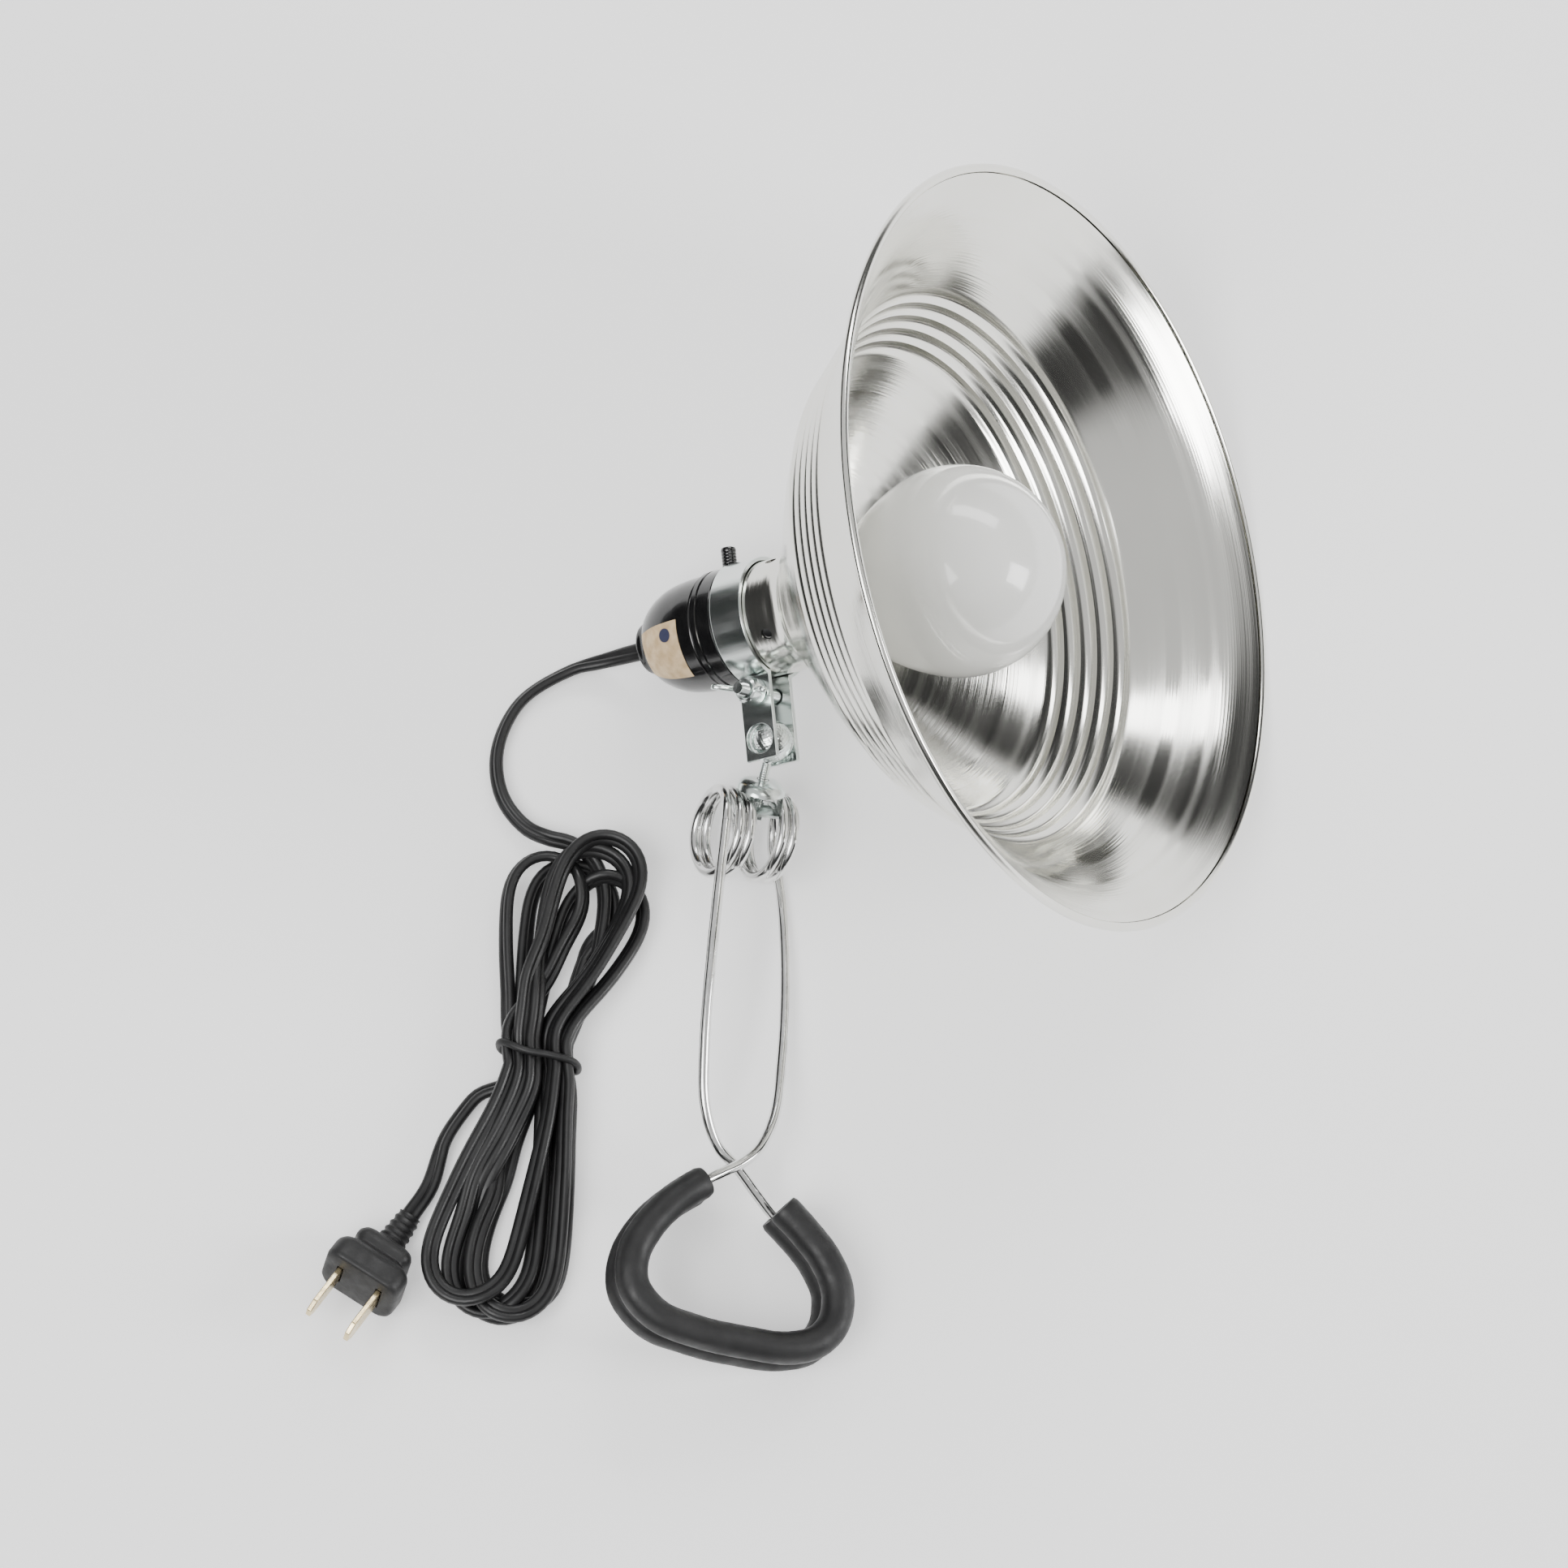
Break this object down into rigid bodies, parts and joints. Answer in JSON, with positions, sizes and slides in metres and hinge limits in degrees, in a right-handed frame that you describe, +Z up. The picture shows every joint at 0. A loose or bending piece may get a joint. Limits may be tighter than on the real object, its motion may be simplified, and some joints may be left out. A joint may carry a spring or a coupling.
{
  "type": "clamp-on heat lamp fixture",
  "caption": "Clamp-on heat lamp: spun bell reflector on a push-through switch socket, bulb, ball joint, spring wire clamp with vinyl jaws, and a tied flat cord with plug.",
  "frame": {"origin": "on the resting surface, under the middle of the fixture without its cord", "axes": "+Z up, +Y from the clamp jaws towards the reflector, +X from the socket towards the bulb"},
  "size_m": [0.2727, 0.3263, 0.1814],
  "materials": {
    "spun_aluminium": "spun, fine concentric lines",
    "black_phenolic": "glossy moulded",
    "fibre": "matt fibre",
    "brass": "satin",
    "black_vinyl": "soft matt",
    "black_cord": "satin",
    "zinc_plate": "bright zinc",
    "chrome_wire": "bright",
    "label_paper": "printed paper, plain",
    "frosted_glass": "frosted white",
    "clear_glass": "clear",
    "tungsten": "drawn wire"
  },
  "bodies": {
    "head": {"reflector": "spun_aluminium", "socket_cap": "black_phenolic", "socket_barrel": "black_phenolic", "switch_body": "fibre", "terminal_screw_live": "brass", "terminal_screw_neutral": "brass", "insulator_disc": "fibre", "centre_contact": "brass", "screw_shell": "brass", "cord_bushing": "black_vinyl", "socket_label": "label_paper", "band_clamp": "zinc_plate", "band_bolt": "zinc_plate", "cord_to_hank": "black_cord", "cord_hank": "black_cord", "hank_tie": "black_cord", "cord_to_plug": "black_cord", "plug_strain_relief": "black_vinyl", "plug_body": "black_vinyl", "plug_blade_live": "brass", "plug_blade_neutral": "brass"},
    "bulb": {"bulb_glass": "frosted_glass", "bulb_screw_cap": "spun_aluminium", "bulb_insulator": "black_phenolic", "bulb_contact": "brass", "bulb_stem": "clear_glass", "bulb_lead_a": "tungsten", "bulb_lead_b": "tungsten", "bulb_filament": "tungsten"},
    "switch": {"switch_rod": "black_phenolic", "switch_carriage": "brass"},
    "wing_nut": {"wing_nut": "zinc_plate"},
    "ball": {"swivel_ball": "zinc_plate"},
    "clamp": {"swivel_stem": "zinc_plate", "dome_washer": "zinc_plate", "coil_saddle": "zinc_plate", "stem_nut": "zinc_plate", "spring_coil": "chrome_wire"},
    "jaw_a": {"jaw_wire_a": "chrome_wire", "jaw_sleeve_a": "black_vinyl"},
    "jaw_b": {"jaw_wire_b": "chrome_wire", "jaw_sleeve_b": "black_vinyl"}
  },
  "joints": [
    {"name": "bulb_turn", "type": "hinge", "parent": "head", "child": "bulb", "pos_m": [-0.04129, 0.04922, 0.04111], "axis": [0.8281, 0.0565, 0.5577], "continuous": true},
    {"name": "switch_push", "type": "slide", "parent": "head", "child": "switch", "axis": [0.097, -0.9943, -0.0434], "range_m": [0, 0.0052]},
    {"name": "wing_nut_turn", "type": "hinge", "parent": "head", "child": "wing_nut", "pos_m": [-0.04906, 0.02717, 0.03354], "axis": [0.5521, 0.0901, -0.8289], "continuous": true},
    {"name": "ball_tilt", "type": "hinge", "parent": "head", "child": "ball", "pos_m": [-0.04775, 0.01375, 0.03295], "axis": [0.5521, 0.0901, -0.8289], "range_deg": [-35, 0]},
    {"name": "stem_turn", "type": "hinge", "parent": "ball", "child": "clamp", "pos_m": [-0.04775, 0.01375, 0.03295], "axis": [0.2043, 0.7919, 0.5755], "range_deg": [0, 180]},
    {"name": "jaw_a_open", "type": "hinge", "parent": "clamp", "child": "jaw_a", "pos_m": [-0.0537, -0.0093, 0.0162], "axis": [0.9568, -0.0372, -0.2885], "range_deg": [0, 12], "stiffness_Nm_per_rad": 3, "springref_deg": -20.05},
    {"name": "jaw_b_open", "type": "hinge", "parent": "clamp", "child": "jaw_b", "pos_m": [-0.0537, -0.0093, 0.0162], "axis": [-0.9568, 0.0372, 0.2885], "range_deg": [0, 12], "stiffness_Nm_per_rad": 3, "springref_deg": -20.05}
  ],
  "couplings": [
    {"joint": "jaw_b_open", "follows": "jaw_a_open", "ratio": 1}
  ]
}
